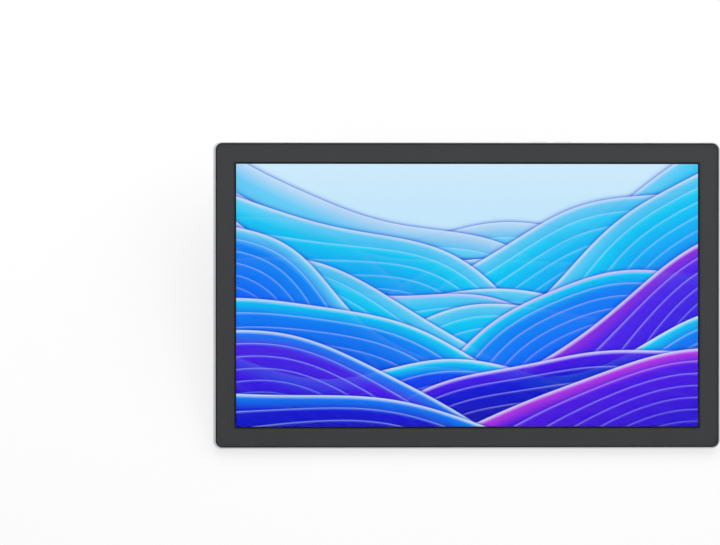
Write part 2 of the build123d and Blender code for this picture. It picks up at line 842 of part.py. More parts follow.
# Sheet-metal can over the main chip
with BuildPart() as shield_can:
    with BuildSketch(level(main_top)):
        with Locations((0, can_y)):
            Rectangle(can_width, can_height)
    extrude(amount=can_rise)
    with BuildSketch(level(main_top)):
        with Locations((0, can_y)):
            Rectangle(can_width - 2 * can_thick, can_height - 2 * can_thick)
    extrude(amount=can_rise - can_thick, mode=Mode.SUBTRACT)
save(shield_can, "shield_can")

# Soft pad that takes the main chip's heat to the back cover
with BuildPart() as thermal_pad:
    with BuildSketch(level(cover_thick)):
        with Locations((0, can_y)):
            Rectangle(thermal_width, thermal_width)
    extrude(amount=main_standoff)
save(thermal_pad, "thermal_pad")

# Display driver board along the bottom of the screen
with BuildPart() as display_driver_board:
    with BuildSketch(level(driver_base)):
        with Locations((0, driver_y)):
            Rectangle(driver_width, driver_height)
        with Locations(*driver_screw_places):
            RegularPolygon(screw_clear_r, screw_sides, mode=Mode.SUBTRACT)
    extrude(amount=board_thick)
save(display_driver_board, "display_driver_board")

# Button board on the right of the main board
with BuildPart() as button_board:
    with BuildSketch(level(main_base)):
        with Locations((button_board_x, button_board_y)):
            Rectangle(button_board_width, button_board_height)
        with Locations(*button_screw_places):
            RegularPolygon(screw_clear_r, screw_sides, mode=Mode.SUBTRACT)
    extrude(amount=board_thick)
save(button_board, "button_board")

# Push switches behind the two buttons, and the small lamp between them
plunger_tip = wall_inner_y - button_play - button_lip - button_travel - button_play
switch_face = plunger_tip - plunger_length
with BuildPart() as button_switches:
    with BuildSketch(level(main_top)):
        for button_x in button_places.values():
            with Locations((button_x, switch_face - switch_depth / 2)):
                Rectangle(switch_width, switch_depth)
        with Locations((lamp_x, plunger_tip - lamp_led_depth / 2)):
            Rectangle(lamp_led_width, lamp_led_depth)
    extrude(amount=port_height)
    for button_x in button_places.values():
        with BuildSketch(upright(button_x, switch_face, port_axis)):
            RegularPolygon(plunger_r, boss_sides)
        extrude(amount=plunger_length)
save(button_switches, "button_switches")

# Screws of the three boards
with BuildPart() as board_screws:
    for x, y in main_screw_places + button_screw_places:
        screw_body(spot(x, y, main_top), board_thick + main_standoff)
    for x, y in driver_screw_places:
        screw_body(spot(x, y, driver_top), board_thick + main_standoff)
save(board_screws, "board_screws")

# Ports: a rounded metal shell with the contact tongue inside, open at the top edge
port_mouth = body_height / 2 - port_sink
for port_name, port_x in port_places.items():
    with BuildPart() as port:
        with BuildSketch(upright(port_x, port_mouth - port_length, port_axis)):
            SlotOverall(port_width, port_height)
        extrude(amount=port_length)
        with BuildSketch(upright(port_x, port_mouth - port_length + port_back, port_axis)):
            SlotOverall(port_width - 2 * port_shell, port_height - 2 * port_shell)
        extrude(amount=port_length - port_back, mode=Mode.SUBTRACT)
        with BuildSketch(upright(port_x, port_mouth - port_length + port_back, port_axis)):
            Rectangle(port_tongue_width, port_tongue_thick)
        extrude(amount=port_length - port_back - port_tongue_sink)
    save(port, port_name)

# Buttons: a pill that stands proud of the edge, with a lip at both ends behind the wall
for button_name, button_x in button_places.items():
    with BuildPart() as button:
        lip_back = wall_inner_y - button_play - button_lip
        with BuildSketch(upright(button_x, lip_back, port_axis)):
            Rectangle(button_length + 2 * button_flange, button_height)
        extrude(amount=button_lip)
        with BuildSketch(upright(button_x, lip_back, port_axis)):
            SlotOverall(button_length, button_height)
        extrude(amount=body_height / 2 + button_proud - lip_back)
        chamfer(faces().sort_by(up_the_screen)[-1].edges(), length=button_chamfer)
    save(button, button_name)

# Light pipe of the status lamp
with BuildPart() as status_lamp:
    with BuildSketch(upright(lamp_x, plunger_tip, port_axis)):
        Circle(lamp_r)
    extrude(amount=body_height / 2 - plunger_tip)
save(status_lamp, "status_lamp")


def bends(points):
    """The points of a bent line, with two for each corner, a bend's size before and after."""
    path = [points[0]]
    for before, corner, after in zip(points, points[1:], points[2:]):
        for end in (before, after):
            share = flex_bend / dist(corner, end)
            path.append(tuple(c + share * (e - c) for c, e in zip(corner, end)))
    path.append(points[-1])
    return path


def ribbon(x_places, width, points):
    """Flat flexible strips of one width, bent along a line of (up, out) points."""
    for x in x_places:
        with BuildLine(across(x)) as path:
            Polyline(*bends(points))
        start = Plane(origin=path.line @ 0, x_dir=(1, 0, 0), z_dir=path.line % 0)
        with BuildSketch(start) as strip:
            Rectangle(width, flex_thick)
        sweep(strip.sketch, path=path.line, transition=Transition.RIGHT)


half_flex = flex_thick / 2
lower_run = module_low - flex_run
upper_run = module_high + flex_run

# Flexes from the cell's lower ledge, folded round the tray to the driver board
with BuildPart() as lcd_flexes:
    flex_count = int(driver_width // lcd_flex_pitch)
    flex_first = -(flex_count - 1) / 2 * lcd_flex_pitch
    flex_places = [flex_first + number * lcd_flex_pitch for number in range(flex_count)]
    ribbon(
        flex_places,
        lcd_flex_width,
        (
            (cell_shift - cell_height / 2 + flex_overlap, cell_middle + half_flex),
            (lower_run, cell_middle + half_flex),
            (lower_run, driver_top + half_flex),
            (driver_low + flex_overlap, driver_top + half_flex),
        ),
    )
save(lcd_flexes, "lcd_flexes")

# Strip from the light bar out through the tray's notch to the driver board
with BuildPart() as backlight_flex:
    notch_middle = guide_base + tray_notch_height / 2
    ribbon(
        (cable_x,),
        tray_notch_width / 2,
        (
            (inner_low + sheet_gap, notch_middle),
            (lower_run, notch_middle),
            (lower_run, driver_top + half_flex),
            (driver_low + flex_overlap, driver_top + half_flex),
        ),
    )
save(backlight_flex, "backlight_flex")

# Tail of the pen sensor, folded round the sensor's upper edge to the main board
with BuildPart() as sensor_tail:
    ribbon(
        (sensor_tail_x,),
        tail_width - flex_overlap,
        (
            (sensor_height / 2 - flex_overlap, sensor_base - half_flex),
            (upper_run, sensor_base - half_flex),
            (upper_run, main_top + half_flex),
            (tail_end, main_top + half_flex),
        ),
    )
save(sensor_tail, "sensor_tail")

# Tail of the touch film, folded round the tray's upper edge to the main board
with BuildPart() as touch_tail:
    touch_edge = active_height / 2 + touch_margin
    cell_edge = active_height / 2 + cell_margin
    ribbon(
        (touch_tail_x,),
        tail_width - flex_overlap,
        (
            ((touch_edge + cell_edge) / 2, touch_base - half_flex),
            (upper_run, touch_base - half_flex),
            (upper_run, main_top + half_flex),
            (tail_end, main_top + half_flex),
        ),
    )
save(touch_tail, "touch_tail")

# Ribbon between the main board and the driver board, lying on the cover's ribs
with BuildPart() as board_ribbon:
    ribbon_level = cover_thick + rib_height + half_flex
    ribbon(
        (0,),
        ribbon_width - 2 * flex_overlap,
        (
            (main_low + ribbon_lead, main_top + half_flex),
            (main_low - ribbon_lead, main_top + half_flex),
            (main_low - 2 * ribbon_lead, ribbon_level),
            (driver_high + 2 * ribbon_lead, ribbon_level),
            (driver_high + ribbon_lead, driver_top + half_flex),
            (driver_high - ribbon_lead, driver_top + half_flex),
        ),
    )
save(board_ribbon, "board_ribbon")
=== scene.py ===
import math

import bmesh
import bpy
from mathutils import Matrix, Vector


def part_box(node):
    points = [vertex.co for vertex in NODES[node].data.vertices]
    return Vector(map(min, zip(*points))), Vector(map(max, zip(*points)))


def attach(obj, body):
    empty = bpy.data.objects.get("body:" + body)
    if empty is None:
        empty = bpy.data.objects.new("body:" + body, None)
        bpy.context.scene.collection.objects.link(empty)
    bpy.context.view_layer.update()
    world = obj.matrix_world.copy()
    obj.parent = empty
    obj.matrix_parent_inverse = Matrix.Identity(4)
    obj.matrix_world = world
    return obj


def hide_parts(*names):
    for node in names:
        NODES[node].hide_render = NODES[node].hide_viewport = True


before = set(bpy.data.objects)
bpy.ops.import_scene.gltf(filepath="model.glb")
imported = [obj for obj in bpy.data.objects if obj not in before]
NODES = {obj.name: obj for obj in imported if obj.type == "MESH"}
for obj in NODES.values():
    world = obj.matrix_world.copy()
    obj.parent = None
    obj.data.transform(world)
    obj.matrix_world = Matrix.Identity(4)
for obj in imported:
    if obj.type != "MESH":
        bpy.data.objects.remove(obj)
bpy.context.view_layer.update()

# Sizes of the CAD model that its finishes and finer pieces follow, in metres
TILT = math.radians(20)
ACTIVE_WIDTH = 0.40896
ACTIVE_HEIGHT = 0.23004
GLASS_WIDTH = 0.44556
GLASS_HEIGHT = 0.26664
GLASS_CORNER = 0.006
GLASS_MIDDLE = 0.00995
FRAME_TOP = 0.0103
RIM_CHAMFER = 0.00035
PORT_AXIS = 0.00423
TONGUE_WIDE = 0.0062
TONGUE_THICK = 0.0007
TONGUE_END = 0.13322

# The deck is the tablet's own frame: right, up the screen and out of the screen, with
# heights from the back cover's outer face
RIGHT = Vector((1, 0, 0))
UP = Vector((0, math.cos(TILT), math.sin(TILT)))
OUT = Vector((0, -math.sin(TILT), math.cos(TILT)))
low_corner, high_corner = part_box("cover_glass")
GLASS_CENTRE = (low_corner + high_corner) / 2
DECK = GLASS_CENTRE - OUT * GLASS_MIDDLE


def deck(x, y, height):
    """A place given in the deck, in the row frame."""
    return DECK + RIGHT * x + UP * y + OUT * height


def srgb(red, green, blue):
    """A colour read off a screen, 0 to 255, as the linear colour that Blender wants."""
    def linear(value):
        share = value / 255
        return share / 12.92 if share <= 0.04045 else ((share + 0.055) / 1.055) ** 2.4
    return (linear(red), linear(green), linear(blue), 1)


def clusters(node, reach):
    """The middle of each group of a node's points, as places across and up the deck."""
    groups = []
    for vertex in NODES[node].data.vertices:
        spot = vertex.co - DECK
        place = (spot.dot(RIGHT), spot.dot(UP))
        for group in groups:
            if math.dist(group[0], place) < reach:
                group.append(place)
                break
        else:
            groups.append([place])
    return [
        tuple((min(p[axis] for p in group) + max(p[axis] for p in group)) / 2 for axis in (0, 1))
        for group in groups
    ]


# Material nodes. Mix nodes are fed by socket number, because their sockets share names.
MIX_NUMBER_INPUTS = (0, 2, 3)
MIX_COLOUR_INPUTS = (0, 6, 7)
MIX_COLOUR_RESULT = 2
NOISE_LOW = 0.3
NOISE_HIGH = 0.7
NOISE_DETAIL = 3
DRIFT_DETAIL = 4
FINE_GRAIN = (2, 0.6)
PLAIN_WHITE = (1, 1, 1, 1)


class Shader:
    """A material or world in the making: each method adds a node and gives its output."""

    def __init__(self, block, output="ShaderNodeOutputMaterial"):
        self.block = block
        self.block.use_nodes = True
        self.tree = self.block.node_tree
        self.tree.nodes.clear()
        self.result = self.tree.nodes.new(output)

    def add(self, kind, inputs=None, out=0, **settings):
        node = self.tree.nodes.new(kind)
        for key, value in settings.items():
            setattr(node, key, value)
        for key, value in (inputs or {}).items():
            self.feed(node.inputs[key], value)
        return node.outputs[out]

    def feed(self, socket, value):
        if isinstance(value, bpy.types.NodeSocket):
            self.tree.links.new(value, socket)
        else:
            socket.default_value = value

    def math(self, operation, *values, clamp=False):
        inputs = dict(enumerate(values))
        return self.add("ShaderNodeMath", inputs, operation=operation, use_clamp=clamp)

    def place(self):
        return self.add("ShaderNodeTexCoord", out="Object")

    def reach(self, direction, start):
        """How far the shaded point lies from a place, along one direction."""
        inputs = {0: self.place(), 1: tuple(direction)}
        along = self.add("ShaderNodeVectorMath", inputs, out="Value", operation="DOT_PRODUCT")
        return self.math("SUBTRACT", along, start.dot(direction))

    def ramp(self, value, stops):
        out = self.add("ShaderNodeValToRGB", {"Fac": value})
        points = out.node.color_ramp.elements
        for index, (position, colour) in enumerate(stops):
            point = points[index] if index < 2 else points.new(position)
            point.position = position
            point.color = colour
        return out

    def mix(self, share, first, second, blend="MIX"):
        inputs = dict(zip(MIX_COLOUR_INPUTS, (share, first, second)))
        return self.add("ShaderNodeMix", inputs, MIX_COLOUR_RESULT, data_type="RGBA",
                        blend_type=blend)

    def choose(self, share, first, second):
        inputs = dict(zip(MIX_NUMBER_INPUTS, (share, first, second)))
        return self.add("ShaderNodeMix", inputs, data_type="FLOAT")

    def noise(self, scale, detail=NOISE_DETAIL, roughness=0.5):
        inputs = {"Vector": self.place(), "Scale": scale, "Detail": detail,
                  "Roughness": roughness}
        return self.add("ShaderNodeTexNoise", inputs)

    def range(self, value, low, high):
        """A noise's usual values moved to a range."""
        return self.add("ShaderNodeMapRange", {
            "Value": value, "From Min": NOISE_LOW, "From Max": NOISE_HIGH,
            "To Min": low, "To Max": high
        })

    def bump(self, height, strength, distance):
        inputs = {"Height": height, "Strength": strength, "Distance": distance}
        return self.add("ShaderNodeBump", inputs)

    def principled(self, **sockets):
        named = {key.replace("_", " "): value for key, value in sockets.items()}
        return self.add("ShaderNodeBsdfPrincipled", named)

    def done(self, shader):
        self.feed(self.result.inputs["Surface"], shader)
        return self.block


def material(name):
    return Shader(bpy.data.materials.new(name))


GRAINS_PER_DRIFT = 60


def grained(name, colour, other, roughness, spread, scale, metallic, relief, depth):
    """A surface whose colour drifts a little, with a fine grain in its gloss and relief."""
    s = material(name)
    drift = s.noise(scale / GRAINS_PER_DRIFT, DRIFT_DETAIL)
    grain = s.noise(scale, *FINE_GRAIN)
    base = s.mix(s.range(drift, 0, 1), (*colour, 1), (*other, 1))
    gloss = s.range(grain, roughness - spread, roughness + spread)
    return s.done(s.principled(
        Base_Color=base, Roughness=gloss, Metallic=metallic,
        Normal=s.bump(grain, relief, depth)
    ))


FILM_GRAIN = 900
FILM_SPREAD = 0.04
FILM_SHINE = (0.95, 0.97, 1, 1)


def film(name, colour, index, roughness):
    """A clear layer: nearly all of the light passes, and its outer side has a little gloss."""
    s = material(name)
    gloss = s.range(s.noise(FILM_GRAIN), roughness - FILM_SPREAD, roughness + FILM_SPREAD)
    shine = s.add("ShaderNodeBsdfGlossy", {"Color": FILM_SHINE, "Roughness": gloss})
    outside = s.math("SUBTRACT", 1, s.add("ShaderNodeNewGeometry", out="Backfacing"))
    share = s.math("MULTIPLY", s.add("ShaderNodeFresnel", {"IOR": index}), outside)
    clear = s.add("ShaderNodeBsdfTransparent", {"Color": colour})
    return s.done(s.add("ShaderNodeMixShader", {0: share, 1: clear, 2: shine}))


# The lit picture: overlapping waves of light, each with a bright crest, in the display's
# place. Lengths in it are shares of the picture's height, from its middle.
PALE = srgb(208, 237, 253)
SKY = srgb(196, 231, 252)
ICE = srgb(110, 226, 255)
CYAN = srgb(0, 224, 255)
AZURE = srgb(0, 140, 255)
ROYAL = srgb(8, 62, 250)
DEEP = srgb(8, 12, 215)
NAVY = srgb(10, 6, 112)
VIOLET = srgb(88, 18, 238)
ORCHID = srgb(160, 34, 226)
MAGENTA = srgb(206, 60, 236)
LILAC = srgb(222, 208, 255)
WHITE = srgb(240, 246, 255)
SKY_STOPS = ((0.5, ICE), (0.7, SKY), (1.0, PALE))

# Each wave is base, slope, swell, swell rate, swell phase, ripple, ripple rate, ripple
# phase, turn, pleats, and its colours from crest to depth
WAVES = (
    (0.175, 0.12, 0.080, 2.9, 1.5, 0.012, 9.0, 0.0, 0.10, 12.0, (PALE, SKY, ICE, CYAN)),
    (0.155, -0.40, 0.060, 3.7, 1.1, 0.010, 8.0, 1.1, -0.34, 13.0, (PALE, SKY, ICE, CYAN)),
    (0.095, -0.34, 0.080, 3.3, 0.4, 0.010, 8.0, 1.1, -0.30, 14.0, (PALE, ICE, CYAN, CYAN)),
    (0.095, 0.46, 0.080, 2.4, 3.6, 0.014, 7.0, 2.0, 0.45, 15.0, (PALE, ICE, CYAN, CYAN)),
    (0.065, -0.16, 0.110, 3.9, 4.6, 0.008, 10.0, 0.7, -0.42, 14.5, (PALE, ICE, CYAN, AZURE)),
    (0.055, 0.30, 0.070, 4.4, 2.0, 0.010, 8.0, 1.0, 0.36, 16.0, (PALE, ICE, CYAN, AZURE)),
    (0.025, 0.42, 0.090, 2.8, 0.6, 0.012, 8.5, 3.0, 0.50, 15.5, (PALE, ICE, CYAN, AZURE)),
    (0.005, -0.46, 0.085, 3.4, 2.0, 0.012, 7.5, 2.2, -0.44, 15.5, (PALE, ICE, CYAN, ROYAL)),
    (-0.005, -0.20, 0.080, 4.6, 0.2, 0.012, 7.5, 2.2, -0.20, 15.5, (PALE, ICE, CYAN, AZURE)),
    (-0.035, 0.20, 0.110, 3.0, 3.9, 0.010, 9.0, 1.6, 0.24, 14.5, (PALE, ICE, CYAN, AZURE)),
    (-0.055, -0.38, 0.090, 3.9, 0.6, 0.010, 9.0, 1.3, -0.34, 16.0, (LILAC, ICE, CYAN, AZURE)),
    (-0.085, 0.48, 0.080, 2.9, 5.1, 0.010, 8.2, 2.9, 0.46, 16.0, (PALE, ICE, CYAN, ROYAL)),
    (-0.105, 0.10, 0.070, 5.0, 1.2, 0.010, 8.2, 2.9, 0.12, 15.0, (PALE, ICE, CYAN, ROYAL)),
    (-0.135, -0.26, 0.100, 3.3, 3.4, 0.010, 7.5, 0.2, -0.28, 16.0, (PALE, ICE, CYAN, AZURE)),
    (-0.165, 0.34, 0.090, 4.0, 0.2, 0.012, 9.5, 1.7, 0.38, 17.0, (LILAC, CYAN, AZURE, ROYAL)),
    (-0.195, -0.44, 0.070, 4.3, 5.0, 0.012, 9.5, 1.7, -0.46, 17.0, (PALE, ICE, AZURE, ROYAL)),
    (-0.215, -0.20, 0.080, 3.0, 2.9, 0.010, 8.0, 2.6, -0.30, 15.0, (PALE, CYAN, AZURE, DEEP)),
    (-0.245, 0.40, 0.080, 3.6, 4.6, 0.009, 7.0, 0.9, 0.44, 16.0, (LILAC, ORCHID, VIOLET, DEEP)),
    (-0.285, 0.16, 0.070, 4.8, 3.3, 0.009, 7.0, 0.9, 0.18, 15.0, (PALE, CYAN, AZURE, DEEP)),
    (-0.315, -0.16, 0.085, 3.9, 0.9, 0.010, 9.0, 2.4, -0.18, 16.0, (PALE, CYAN, ROYAL, NAVY)),
    (-0.355, 0.26, 0.070, 2.9, 1.6, 0.010, 9.0, 3.6, 0.26, 15.5, (LILAC, VIOLET, DEEP, NAVY)),
    (-0.395, -0.30, 0.070, 3.5, 3.1, 0.009, 8.0, 0.5, -0.34, 16.5, (PALE, AZURE, VIOLET, DEEP)),
    (-0.435, 0.22, 0.060, 3.4, 5.8, 0.008, 8.0, 1.4, 0.22, 16.0, (LILAC, MAGENTA, VIOLET, DEEP)),
    (-0.485, -0.14, 0.050, 3.1, 2.5, 0.008, 7.0, 2.8, -0.14, 15.0, (PALE, AZURE, DEEP, NAVY)),
)
CREST_STOPS = (0.014, 0.04, 0.16, 0.85)
EDGE_SHARPNESS = 420
DEPTH_SCALE = 2.6
FADE_RATE = 2.0
LINE_POWER = 20
LINE_SHARE = 0.85
PLEAT_SPREAD = 0.45
PLEAT_SHADE = 0.22
SHADE_RED_POWER = 1.6
SHADE_BLUE_POWER = 0.4
SHADOW_RATE = 30
SHADOW_POWER = 5
SHADOW_SHARE = 0.8
SHADOW_TINT = (0.08, 0.2, 0.75, 1)
SOFT_SCALE = 9
SOFT_ROUGHNESS = 0.55
SOFT_SHARE = 0.4
LEAST_COVER = 0.6
SCREEN_GLOW = 1.0
UNLIT = (0.004, 0.005, 0.006, 1)
UNLIT_GLOSS = 0.5


def wave(s, x, y, soft, colour, sizes):
    """One wave laid over a colour, with a thin dark line above its crest."""
    base, slope, swell, rate, phase, ripple, fast, shift, turn, pleats, tones = sizes
    along = s.math("MULTIPLY_ADD", y, math.sin(turn), s.math("MULTIPLY", x, math.cos(turn)))
    swelling = s.math("SINE", s.math("MULTIPLY_ADD", along, rate, phase))
    rippling = s.math("SINE", s.math("MULTIPLY_ADD", along, fast, shift))
    crest = s.math("MULTIPLY_ADD", along, slope, base)
    crest = s.math("MULTIPLY_ADD", swelling, swell, crest)
    crest = s.math("MULTIPLY_ADD", rippling, ripple, crest)
    depth = s.math("SUBTRACT", crest, y)
    inside = s.math("MULTIPLY", depth, EDGE_SHARPNESS, clamp=True)
    stops = [(0.0, WHITE), *zip(CREST_STOPS, tones)]
    tone = s.ramp(s.math("MULTIPLY", depth, DEPTH_SCALE), stops)

    spread = s.math("MULTIPLY_ADD", swelling, PLEAT_SPREAD, 1)
    pleat = s.math("FRACT", s.math("MULTIPLY", s.math("MULTIPLY", depth, pleats), spread))
    fade = s.math("SUBTRACT", 1, s.math("MULTIPLY", depth, FADE_RATE, clamp=True))
    shade = s.math("MULTIPLY", s.math("MULTIPLY", pleat, fade), PLEAT_SHADE)
    shade = s.math("SUBTRACT", 1, shade)
    red = s.math("POWER", shade, SHADE_RED_POWER)
    blue = s.math("POWER", shade, SHADE_BLUE_POWER)
    tint = s.add("ShaderNodeCombineColor", {"Red": red, "Green": shade, "Blue": blue})
    tone = s.mix(1, tone, tint, "MULTIPLY")
    line = s.math("POWER", s.math("SUBTRACT", 1, pleat), LINE_POWER)
    line = s.math("MULTIPLY", s.math("MULTIPLY", line, fade), LINE_SHARE)
    tone = s.mix(line, tone, tones[0])

    near = s.math("MULTIPLY_ADD", depth, SHADOW_RATE, 1, clamp=True)
    shadow = s.math("MULTIPLY", s.math("POWER", near, SHADOW_POWER), SHADOW_SHARE)
    colour = s.mix(shadow, colour, SHADOW_TINT, "MULTIPLY")
    cover = s.math("MULTIPLY_ADD", soft, SOFT_SHARE, LEAST_COVER)
    return s.mix(s.math("MULTIPLY", inside, cover, clamp=True), colour, tone)


def lit_picture():
    """The display's face: the picture in its lit area, and black round it."""
    s = material("lit_picture")
    across = s.reach(RIGHT, GLASS_CENTRE)
    up = s.reach(UP, GLASS_CENTRE)
    x = s.math("DIVIDE", across, ACTIVE_HEIGHT)
    y = s.math("DIVIDE", up, ACTIVE_HEIGHT)
    soft = s.noise(SOFT_SCALE, roughness=SOFT_ROUGHNESS)
    colour = s.ramp(s.math("ADD", y, 0.5), SKY_STOPS)
    for sizes in WAVES:
        colour = wave(s, x, y, soft, colour, sizes)
    in_width = s.math("LESS_THAN", s.math("ABSOLUTE", across), ACTIVE_WIDTH / 2)
    in_height = s.math("LESS_THAN", s.math("ABSOLUTE", up), ACTIVE_HEIGHT / 2)
    lit = s.math("MULTIPLY", in_width, in_height)
    black = s.principled(Base_Color=UNLIT, Roughness=UNLIT_GLOSS, Specular_IOR_Level=0.0)
    glow = s.add("ShaderNodeEmission", {"Color": colour, "Strength": SCREEN_GLOW})
    return s.done(s.add("ShaderNodeMixShader", {0: lit, 1: black, 2: glow}))


# Finishes that change with the place on a node
RIM_GRAIN = 2600
RIM_DRIFT = 30
RIM_SATIN = (0.5, 0.51, 0.525, 1)
RIM_PALE = (0.56, 0.57, 0.585, 1)
RIM_GLOSS = (0.3, 0.42)
RIM_RELIEF = (0.12, 0.00004)
RIM_METALLIC = 0.95
CHAMFER_GLOSS = 0.24
CHAMFER_SHARE = 1.02


def rim_metal():
    """The silver frame: bead blasted, with a brighter cut chamfer round its front."""
    s = material("rim_metal")
    chamfer_foot = FRAME_TOP - RIM_CHAMFER * CHAMFER_SHARE
    chamfer = s.math("GREATER_THAN", s.reach(OUT, DECK), chamfer_foot)
    grain = s.noise(RIM_GRAIN, *FINE_GRAIN)
    satin = s.mix(s.range(s.noise(RIM_DRIFT, DRIFT_DETAIL), 0, 1), RIM_SATIN, RIM_PALE)
    return s.done(s.principled(
        Base_Color=s.mix(chamfer, satin, RIM_SATIN), Metallic=RIM_METALLIC,
        Roughness=s.choose(chamfer, s.range(grain, *RIM_GLOSS), CHAMFER_GLOSS),
        Normal=s.bump(grain, *RIM_RELIEF)
    ))


# The outer line's width and colour are painted shade along the glass's edge, and partly the dark
# tape that shows past the ink.
EDGE_SHADE_AND_TAPE_WIDTH = 0.0014
INNER_LINE = 0.0018
INK_GRAIN = 2400
INK_DRIFT = 40
INK_GLOSS = (0.44, 0.56)
INK_RELIEF = (0.1, 0.00005)
INK = (0.0475, 0.048, 0.049, 1)
INK_PALE = (0.05, 0.0505, 0.0515, 1)
INK_EDGE_SHADE_AND_TAPE = (0.021, 0.0213, 0.022, 1)
INK_INNER = (0.008, 0.0085, 0.0095, 1)


def border_ink():
    """Matt black ink behind the glass, deeper in a fine line along both of its edges. The outer
    line is painted shade along the glass's edge, and partly the dark tape that shows past the
    ink.
    """
    s = material("border_ink")
    across = s.math("ABSOLUTE", s.reach(RIGHT, GLASS_CENTRE))
    up = s.math("ABSOLUTE", s.reach(UP, GLASS_CENTRE))
    squares = []
    for value, side in ((across, GLASS_WIDTH), (up, GLASS_HEIGHT)):
        past = s.math("MAXIMUM", s.math("SUBTRACT", value, side / 2 - GLASS_CORNER), 0)
        squares.append(s.math("MULTIPLY", past, past))
    from_corner = s.math("SQRT", s.math("ADD", *squares))
    # Painted shade: a darker line along the glass's outer edge, partly the dark tape past the
    # ink.
    outer = s.math("GREATER_THAN", from_corner, GLASS_CORNER - EDGE_SHADE_AND_TAPE_WIDTH)
    from_picture = s.math("MAXIMUM", s.math("SUBTRACT", across, ACTIVE_WIDTH / 2),
                          s.math("SUBTRACT", up, ACTIVE_HEIGHT / 2))
    inner = s.math("LESS_THAN", from_picture, INNER_LINE)
    ink = s.mix(s.range(s.noise(INK_DRIFT, DRIFT_DETAIL), 0, 1), INK, INK_PALE)
    # The inner line is a deeper ink; the outer line is painted shade, partly the dark tape.
    ink = s.mix(inner, s.mix(outer, ink, INK_EDGE_SHADE_AND_TAPE), INK_INNER)
    grain = s.noise(INK_GRAIN, *FINE_GRAIN)
    return s.done(s.principled(
        Base_Color=ink, Roughness=s.range(grain, *INK_GLOSS), Specular_IOR_Level=0.0,
        Normal=s.bump(grain, *INK_RELIEF)
    ))


PORT_SPAN = 0.02
PORT_GRAIN = 1600
PORT_DRIFT = 60
PORT_STEEL = (0.48, 0.49, 0.51, 1)
PORT_PALE = (0.56, 0.57, 0.58, 1)
PORT_GLOSS = (0.22, 0.34)
PORT_RELIEF = (0.1, 0.00003)
TONGUE_BLACK = (0.016, 0.016, 0.017, 1)
TONGUE_GLOSS = 0.5
TONGUE_MARGIN = 0.00004


def port_metal(node):
    """A bright shell with a black tongue in its middle."""
    s = material(node + "_metal")
    (middle, _), = clusters(node, PORT_SPAN)
    across = s.math("ABSOLUTE", s.reach(RIGHT, deck(middle, 0, 0)))
    level = s.math("ABSOLUTE", s.reach(OUT, deck(0, 0, PORT_AXIS)))
    tongue = s.math("MULTIPLY",
                    s.math("LESS_THAN", across, TONGUE_WIDE / 2 + TONGUE_MARGIN),
                    s.math("LESS_THAN", level, TONGUE_THICK / 2 + TONGUE_MARGIN))
    grain = s.noise(PORT_GRAIN)
    steel = s.mix(s.range(s.noise(PORT_DRIFT), 0, 1), PORT_STEEL, PORT_PALE)
    return s.done(s.principled(
        Base_Color=s.mix(tongue, steel, TONGUE_BLACK), Metallic=s.math("SUBTRACT", 1, tongue),
        Roughness=s.choose(tongue, s.range(grain, *PORT_GLOSS), TONGUE_GLOSS),
        Normal=s.bump(grain, *PORT_RELIEF)
    ))


BOARD_CELLS = {"Scale": 160, "Mortar Size": 0.03}
BOARD_GRAIN = 700
BOARD_GREEN = (0.02, 0.13, 0.07, 1)
BOARD_COPPER = (0.05, 0.22, 0.12, 1)
BOARD_GLOSS = (0.3, 0.45)


def green_board():
    """A circuit board: solder mask over fine copper runs."""
    s = material("green_board")
    cells = s.add("ShaderNodeTexBrick", {"Vector": s.place(), **BOARD_CELLS}, out="Fac")
    runs = s.mix(cells, BOARD_GREEN, BOARD_COPPER)
    gloss = s.range(s.noise(BOARD_GRAIN), *BOARD_GLOSS)
    return s.done(s.principled(Base_Color=runs, Roughness=gloss))


LAMP_STRENGTH = 0.3
LAMP_GRAIN = 800
LAMP_GLOSS = 0.25
LAMP_TINTS = (srgb(96, 214, 190), srgb(130, 232, 212))


def lamp_glow():
    """The status lamp's light pipe, faintly lit."""
    s = material("lamp_glow")
    tint = s.mix(s.range(s.noise(LAMP_GRAIN), 0, 1), *LAMP_TINTS)
    return s.done(s.principled(
        Base_Color=tint, Roughness=LAMP_GLOSS, Emission_Color=tint,
        Emission_Strength=LAMP_STRENGTH
    ))


# Each film is its name, colour, index and roughness, and the nodes that wear it
FILMS = (
    ("etched_glass", (0.985, 0.99, 0.995, 1), 1.2, 0.3, "cover_glass"),
    ("bond_film", (0.995, 1, 1, 1), 1.02, 0.2, "bonding_film"),
    ("sensing_film", (0.99, 0.995, 1, 1), 1.02, 0.2, "touch_film"),
)

